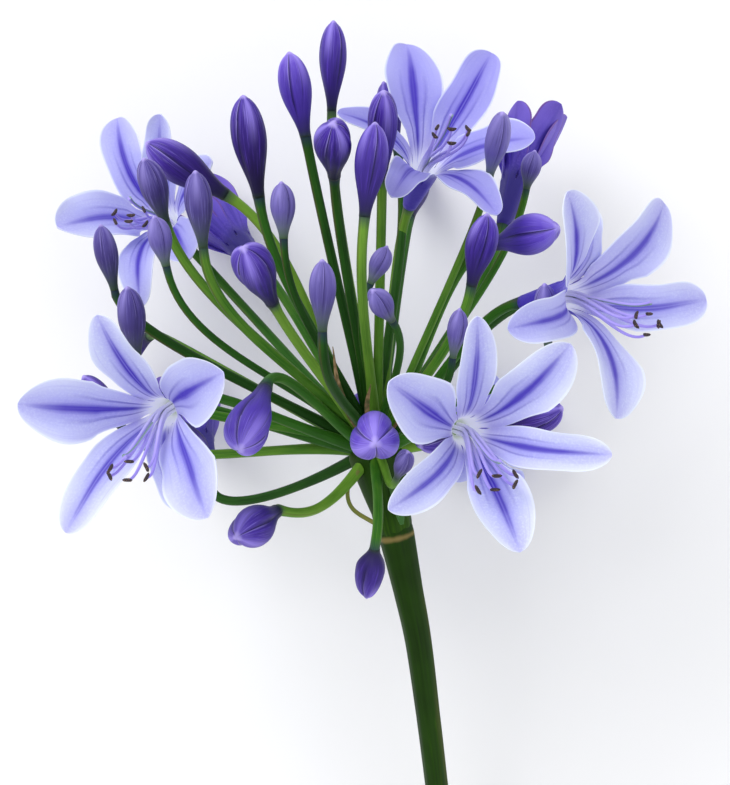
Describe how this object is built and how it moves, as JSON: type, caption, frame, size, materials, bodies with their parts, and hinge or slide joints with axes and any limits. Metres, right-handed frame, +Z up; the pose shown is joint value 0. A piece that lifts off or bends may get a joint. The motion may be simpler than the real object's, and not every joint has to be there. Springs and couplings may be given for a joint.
{
  "type": "agapanthus flower head",
  "caption": "Agapanthus flower head on a cut stem, lying down: a round umbel of blue trumpet flowers and violet buds on green stalks.",
  "frame": {"origin": "on the surface that the flower head lies on, under the middle of its box", "axes": "+Z up from the surface, +Y along the cut stem towards the flower head, +X to the right of that"},
  "size_m": [0.1652, 0.2737, 0.1544],
  "materials": {
    "stem_green": "smooth dark green plant stem",
    "stalk_green": "smooth green flower stalk",
    "tepal_blue": "satin pale blue-violet petal with a darker midrib",
    "opening_violet": "satin violet petal",
    "bud_violet": "waxy deep violet bud",
    "young_bud_lilac": "waxy pale lilac young bud",
    "stamen_lilac": "satin lilac filament"
  },
  "bodies": {
    "root": {"scape": "stem_green", "umbel_stalks": "stalk_green", "bloom_1": "tepal_blue", "bloom_2": "tepal_blue", "bloom_3": "tepal_blue", "bloom_4": "tepal_blue", "bloom_5": "tepal_blue", "bloom_6": "opening_violet", "bloom_7": "opening_violet", "bloom_8": "tepal_blue", "bloom_9": "opening_violet", "bloom_1_stamens": "stamen_lilac", "bloom_2_stamens": "stamen_lilac", "bloom_3_stamens": "stamen_lilac", "bloom_4_stamens": "stamen_lilac", "bloom_5_stamens": "stamen_lilac", "bloom_6_stamens": "stamen_lilac", "bloom_7_stamens": "stamen_lilac", "bloom_8_stamens": "stamen_lilac", "bloom_9_stamens": "stamen_lilac", "bud_01": "bud_violet", "bud_02": "bud_violet", "bud_03": "bud_violet", "bud_04": "bud_violet", "bud_05": "bud_violet", "bud_06": "bud_violet", "bud_07": "young_bud_lilac", "bud_08": "bud_violet", "bud_09": "bud_violet", "bud_10": "bud_violet", "bud_11": "bud_violet", "bud_12": "young_bud_lilac", "bud_13": "bud_violet", "bud_14": "bud_violet", "bud_15": "bud_violet", "bud_16": "young_bud_lilac", "bud_17": "young_bud_lilac", "bud_18": "young_bud_lilac", "bud_19": "bud_violet", "bud_20": "bud_violet", "bud_21": "bud_violet", "bud_22": "bud_violet", "bud_23": "bud_violet", "bud_24": "bud_violet", "bud_25": "young_bud_lilac", "bud_26": "young_bud_lilac", "bud_27": "young_bud_lilac", "bud_28": "bud_violet", "bud_29": "bud_violet", "bud_30": "young_bud_lilac", "bud_31": "bud_violet", "bud_32": "bud_violet", "bud_33": "bud_violet", "bud_34": "bud_violet", "bud_35": "bud_violet", "bud_36": "bud_violet", "bud_37": "bud_violet", "bud_38": "bud_violet"}
  },
  "joints": []
}
